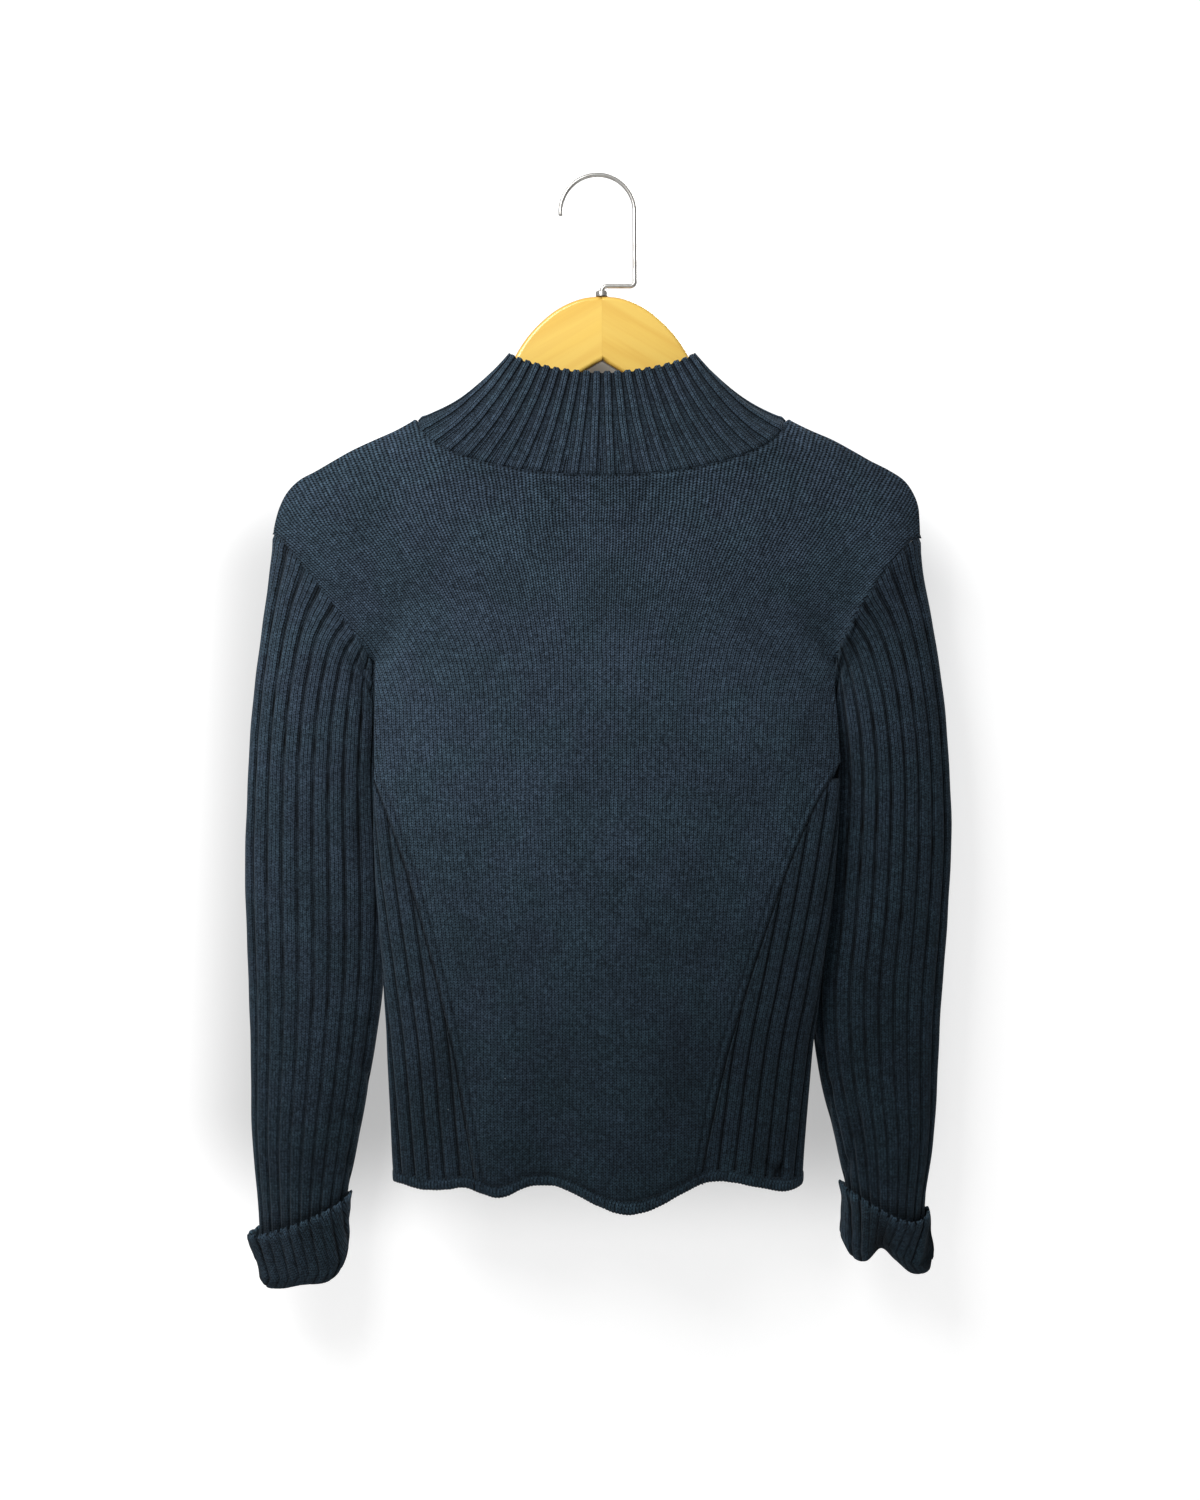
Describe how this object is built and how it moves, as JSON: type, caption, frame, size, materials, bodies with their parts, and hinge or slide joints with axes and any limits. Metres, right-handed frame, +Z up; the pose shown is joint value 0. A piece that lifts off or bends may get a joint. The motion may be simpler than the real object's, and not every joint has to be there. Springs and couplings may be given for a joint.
{
  "type": "knit jacket",
  "caption": "Fitted knit jacket with a tall ribbed funnel collar, ribbed sleeves with turned-up cuffs and ribbed side panels, hung on a wooden hanger with a wire hook.",
  "frame": {"origin": "inside top of the hanger's wire hook, above the middle of the jacket, where the whole hangs from a rail", "axes": "+Z up, +Y out of the jacket's back, -Y out of its front, +X toward the wearer's left"},
  "size_m": [0.5335, 0.0844, 0.8379],
  "materials": {
    "navy_knit": "matt plain knit, slightly felted",
    "navy_rib_knit": "matt rib knit, slightly felted",
    "pale_wood": "clear satin lacquer over pale wood",
    "steel_wire": "bright drawn wire"
  },
  "bodies": {
    "root": {"back": "navy_knit", "front_left": "navy_knit", "front_right": "navy_knit", "side_panel_left": "navy_rib_knit", "side_panel_right": "navy_rib_knit", "sleeve_left": "navy_rib_knit", "sleeve_right": "navy_rib_knit", "collar": "navy_rib_knit", "hem_band": "navy_rib_knit", "hanger": "pale_wood", "hanger_hook": "steel_wire", "ferrule": "steel_wire"}
  },
  "joints": []
}
